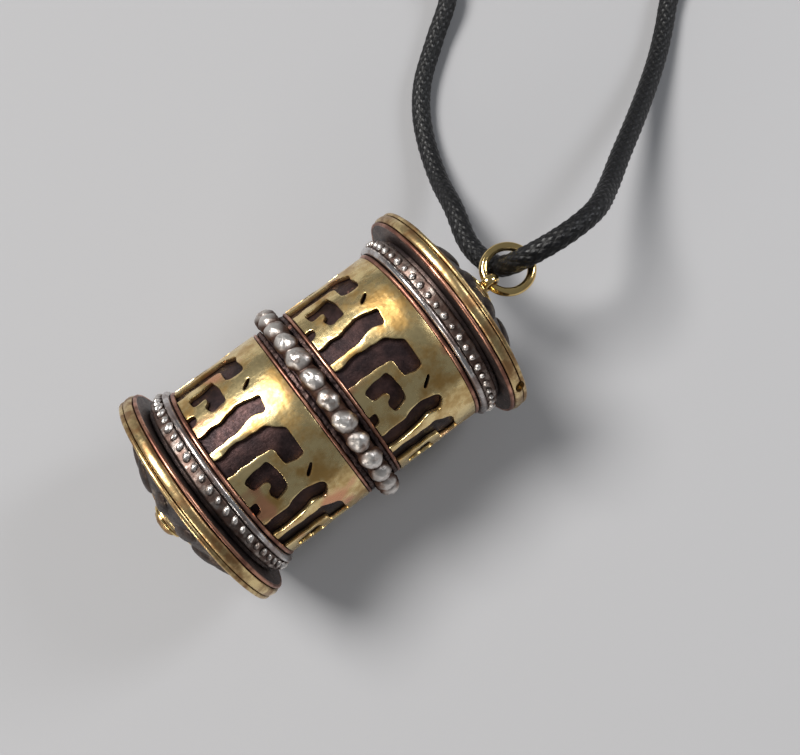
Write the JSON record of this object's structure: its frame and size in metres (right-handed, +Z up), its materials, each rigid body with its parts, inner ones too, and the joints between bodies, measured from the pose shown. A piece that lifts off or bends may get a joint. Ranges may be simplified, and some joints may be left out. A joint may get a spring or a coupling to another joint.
{
  "type": "prayer wheel pendant",
  "caption": "Small prayer wheel pendant lying on its side: a pierced brass and copper drum that turns on a spindle, with domed ends, a jump ring and a black waxed cord.",
  "frame": {"origin": "middle of the pendant's box on the surface that it lies on, under the spindle", "axes": "+X along the spindle towards the jump ring, +Z up from the surface, +Y across the drum"},
  "size_m": [0.0958, 0.0674, 0.0209],
  "materials": {
    "sleeve_brass": "filed pale brass sheet with tarnished edges",
    "rim_brass": "worn rolled brass with brown tarnish",
    "polished_brass": "polished brass wire and hardware",
    "warm_copper": null,
    "dark_copper": "copper oxidised to a dark purple brown, satin",
    "white_metal": "white metal, rubbed bright on the high parts and black in the hollows",
    "spindle_steel": "drawn wire",
    "roll_paper": "plain wound paper strip",
    "roll_thread": "cotton thread",
    "black_cord": "waxed braided cotton"
  },
  "bodies": {
    "hanger": {"spindle": "spindle_steel", "eye_finial": "polished_brass", "tail_rivet": "polished_brass", "washer_ring": "polished_brass", "washer_tail": "polished_brass", "cord_coil": "black_cord", "cord_knot": "black_cord", "cord_strand": "black_cord"},
    "drum": {"drum_tube": "dark_copper", "paper_roll": "roll_paper", "roll_thread": "roll_thread", "bead_wire": "white_metal", "bush_ring": "polished_brass", "bush_tail": "polished_brass", "dome_ring": "dark_copper", "dome_tail": "dark_copper", "rosette_ring": "white_metal", "rosette_tail": "white_metal", "flange_rim_ring": "rim_brass", "flange_rim_tail": "rim_brass", "cap_plate_ring": "warm_copper", "cap_plate_tail": "warm_copper", "neck_collar_ring": "dark_copper", "neck_collar_tail": "dark_copper", "grain_wire_ring": "white_metal", "grain_wire_tail": "white_metal", "half_round_band_ring": "white_metal", "half_round_band_tail": "white_metal", "rim_wire_ring": "warm_copper", "rim_wire_tail": "warm_copper", "sleeve_ring": "sleeve_brass", "sleeve_tail": "sleeve_brass", "edge_wire_ring": "warm_copper", "edge_wire_tail": "warm_copper", "pitted_strip_ring": "dark_copper", "pitted_strip_tail": "dark_copper"},
    "ring": {"jump_ring": "polished_brass"}
  },
  "joints": [
    {"name": "drum_spin", "type": "hinge", "parent": "hanger", "child": "drum", "pos_m": [-0.00261, 0, 0.01046], "axis": [1, 0, 0], "continuous": true},
    {"name": "ring_swing", "type": "hinge", "parent": "hanger", "child": "ring", "pos_m": [0.01554, 0, 0.01046], "axis": [0, 1, 0], "range_deg": [-60, 60], "deforming": ["cord_strand"]}
  ]
}
